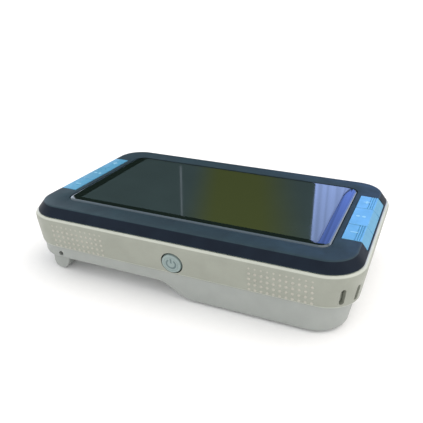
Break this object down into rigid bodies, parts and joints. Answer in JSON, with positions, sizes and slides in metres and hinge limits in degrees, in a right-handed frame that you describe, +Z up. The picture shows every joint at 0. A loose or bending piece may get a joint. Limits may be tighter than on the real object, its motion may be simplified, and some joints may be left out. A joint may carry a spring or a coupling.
{
  "type": "handheld electronic magnifier",
  "caption": "Handheld electronic magnifier: wide display, keys folded over both ends, power button in front, arched underside with a camera and a fold-out foot.",
  "frame": {"origin": "on the table, under the middle of the case's bounding box", "axes": "+X along the case towards its deep battery end, -Y towards the power button, +Z up through the display"},
  "size_m": [0.1528, 0.0954, 0.0324],
  "materials": {
    "cream_plastic": "moulded ABS, fine satin texture",
    "navy_plastic": "moulded ABS, satin, dark blue",
    "blue_key_plastic": "moulded keys, satin light blue",
    "window_glass": "polished clear window",
    "display_panel": "dark grey-green display, off",
    "steel": "plain steel",
    "circuit_board": "green solder mask on glass-fibre board",
    "black_plastic": "moulded black",
    "black_rubber": "matt black rubber",
    "battery_wrap": "plastic shrink wrap",
    "clear_lamp": "clear moulded lamp"
  },
  "bodies": {
    "case": {"middle_frame": "cream_plastic", "rear_cover": "cream_plastic", "battery_door": "cream_plastic", "front_bezel": "navy_plastic", "display_window": "window_glass", "camera_window": "window_glass", "lcd_panel": "display_panel", "lcd_backlight_tray": "steel", "foot_pin": "steel", "shield_can": "steel", "charging_socket": "steel", "board_screw_1": "steel", "board_screw_2": "steel", "board_screw_3": "steel", "board_screw_4": "steel", "case_screw_left_front": "steel", "case_screw_left_back": "steel", "case_screw_right_front": "steel", "case_screw_right_back": "steel", "main_board": "circuit_board", "key_board_left": "circuit_board", "key_board_right": "circuit_board", "key_switch_left_front": "black_plastic", "key_switch_left_middle": "black_plastic", "key_switch_left_back": "black_plastic", "key_switch_right_front": "black_plastic", "key_switch_right_middle": "black_plastic", "key_switch_right_back": "black_plastic", "power_switch": "black_plastic", "battery_contacts": "black_plastic", "camera_module": "black_plastic", "window_gasket": "black_rubber", "rest_pad_front": "black_rubber", "rest_pad_back": "black_rubber", "battery": "battery_wrap", "lamp_left": "clear_lamp", "lamp_right": "clear_lamp"},
    "foot": {"foot": "cream_plastic", "foot_pad": "black_rubber"},
    "power_button": {"power_button": "cream_plastic"},
    "key_left_front": {"key_left_front": "blue_key_plastic"},
    "key_left_middle": {"key_left_middle": "blue_key_plastic"},
    "key_left_back": {"key_left_back": "blue_key_plastic"},
    "key_right_front": {"key_right_front": "blue_key_plastic"},
    "key_right_middle": {"key_right_middle": "blue_key_plastic"},
    "key_right_back": {"key_right_back": "blue_key_plastic"}
  },
  "joints": [
    {"name": "foot_fold", "type": "hinge", "parent": "case", "child": "foot", "pos_m": [-0.0583, 0, 0.0096], "axis": [0, -1, 0], "range_deg": [0, 90]},
    {"name": "power_press", "type": "slide", "parent": "case", "child": "power_button", "axis": [0, 1, 0], "range_m": [0, 0.0006], "stiffness_N_per_m": 1500},
    {"name": "key_left_front_press", "type": "slide", "parent": "case", "child": "key_left_front", "axis": [0, 0, -1], "range_m": [0, 0.0005], "stiffness_N_per_m": 1500},
    {"name": "key_left_middle_press", "type": "slide", "parent": "case", "child": "key_left_middle", "axis": [0, 0, -1], "range_m": [0, 0.0005], "stiffness_N_per_m": 1500},
    {"name": "key_left_back_press", "type": "slide", "parent": "case", "child": "key_left_back", "axis": [0, 0, -1], "range_m": [0, 0.0005], "stiffness_N_per_m": 1500},
    {"name": "key_right_front_press", "type": "slide", "parent": "case", "child": "key_right_front", "axis": [0, 0, -1], "range_m": [0, 0.0005], "stiffness_N_per_m": 1500},
    {"name": "key_right_middle_press", "type": "slide", "parent": "case", "child": "key_right_middle", "axis": [0, 0, -1], "range_m": [0, 0.0005], "stiffness_N_per_m": 1500},
    {"name": "key_right_back_press", "type": "slide", "parent": "case", "child": "key_right_back", "axis": [0, 0, -1], "range_m": [0, 0.0005], "stiffness_N_per_m": 1500}
  ]
}
